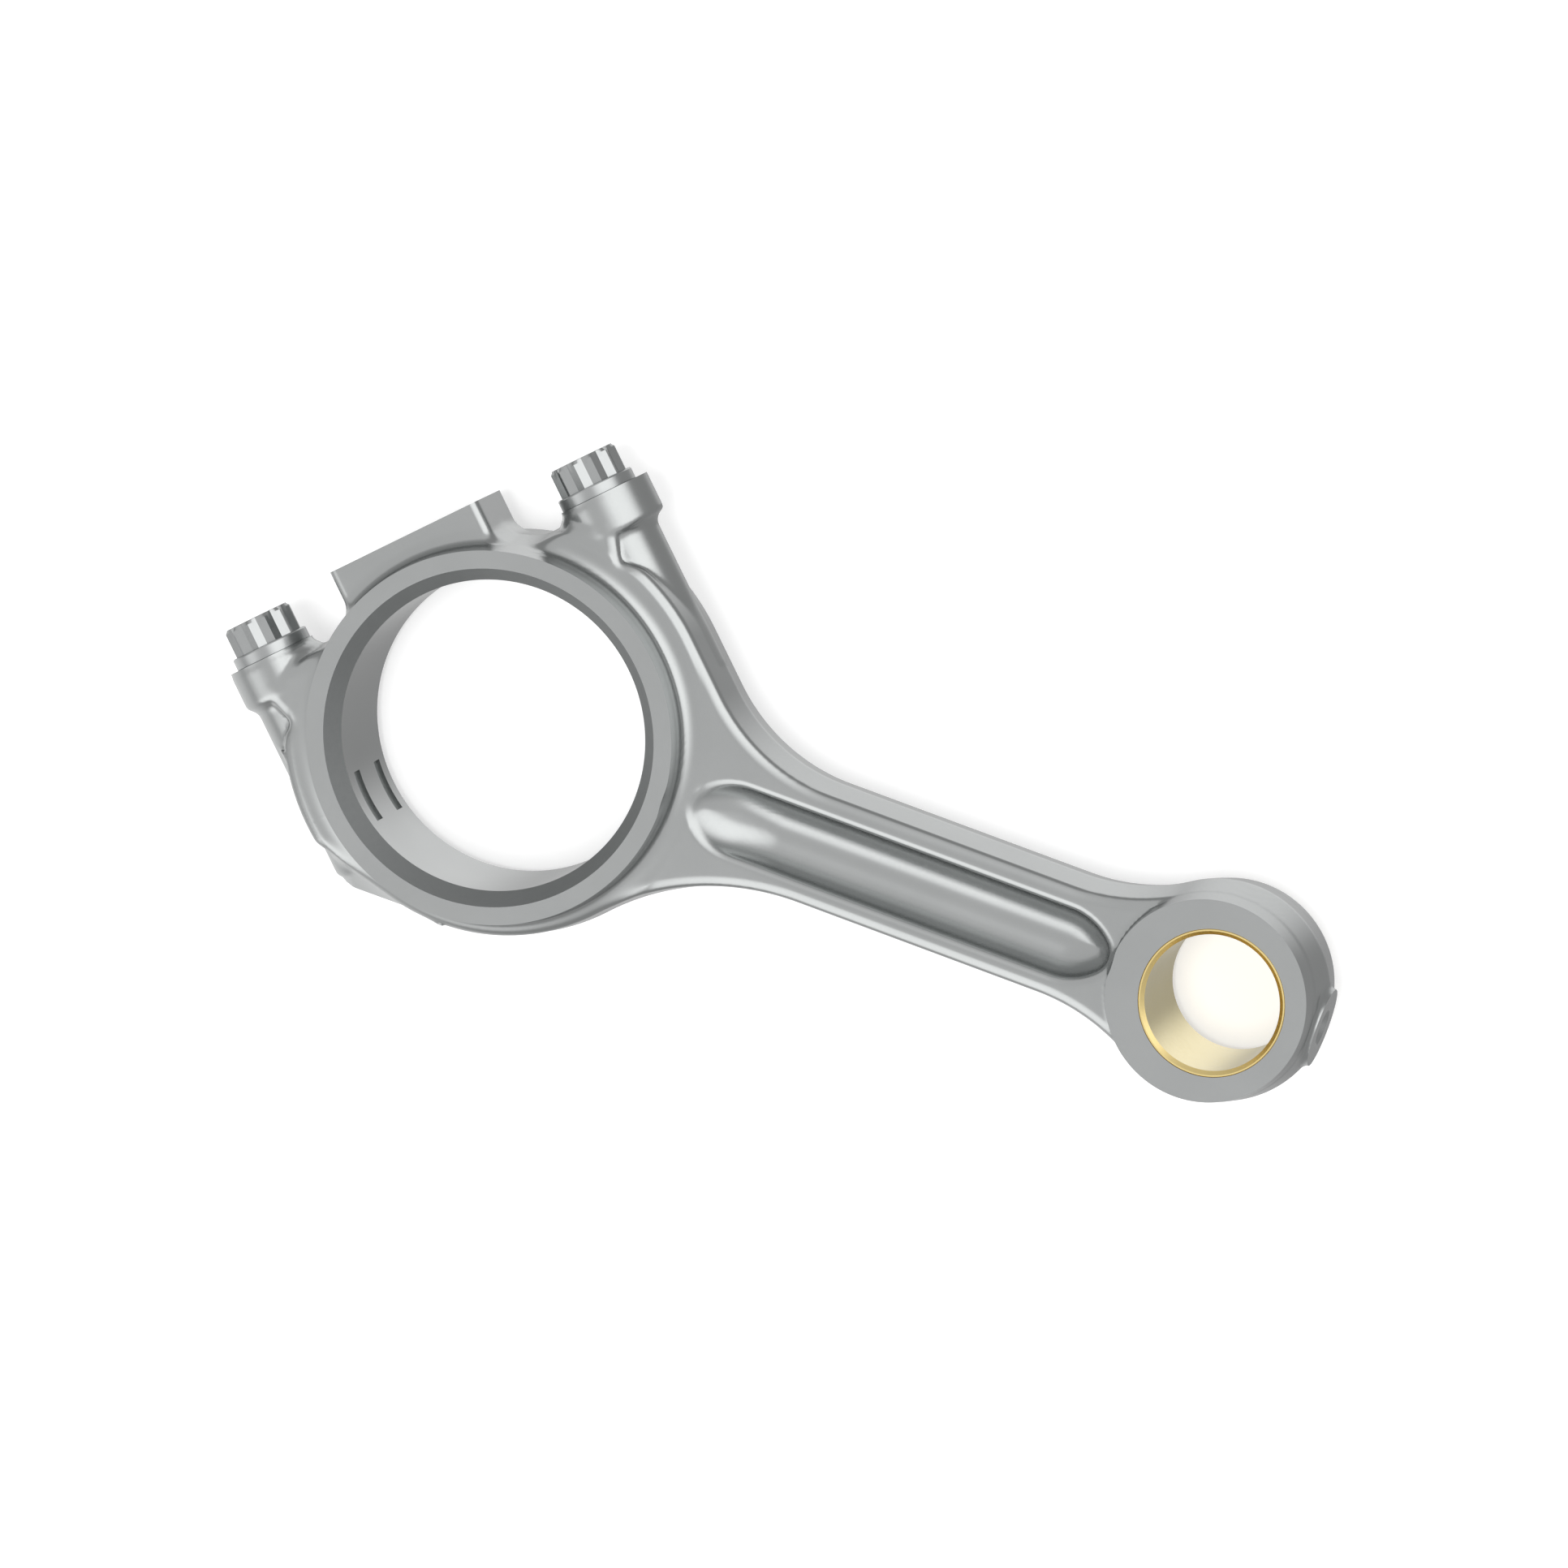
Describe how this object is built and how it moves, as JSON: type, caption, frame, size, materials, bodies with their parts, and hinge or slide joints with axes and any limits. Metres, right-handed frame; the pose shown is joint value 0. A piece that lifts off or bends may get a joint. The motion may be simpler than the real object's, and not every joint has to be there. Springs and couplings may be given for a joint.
{
  "type": "connecting rod",
  "caption": "Forged steel connecting rod with an I-section shank, bushed small end and an obliquely split big end whose cap is held by flange bolts.",
  "frame": {"origin": "centre of the big-end bore, on the rod's mid-plane", "axes": "+X towards the small end, +Z along both bores (crankpin and piston-pin axes), +Y completes the frame; the rod lies flat"},
  "size_m": [0.2448, 0.1076, 0.0354],
  "materials": {
    "forged_steel": "satin forged and machined steel",
    "bolt_steel": "satin heat-treated steel",
    "bush_bronze": "fine-bored bronze"
  },
  "bodies": {
    "rod": {"rod_body": "forged_steel", "small_end_bush": "bush_bronze"},
    "cap": {"bearing_cap": "forged_steel"},
    "upper_bolt": {"upper_cap_bolt": "bolt_steel"},
    "lower_bolt": {"lower_cap_bolt": "bolt_steel"}
  },
  "joints": [
    {"name": "cap_lift", "type": "slide", "parent": "rod", "child": "cap", "axis": [-0.7071, 0.7071, 0], "range_m": [0, 0.06]},
    {"name": "upper_bolt_unscrew", "type": "slide", "parent": "cap", "child": "upper_bolt", "axis": [-0.7071, 0.7071, 0], "range_m": [0, 0.05]},
    {"name": "lower_bolt_unscrew", "type": "slide", "parent": "cap", "child": "lower_bolt", "axis": [-0.7071, 0.7071, 0], "range_m": [0, 0.05]}
  ]
}
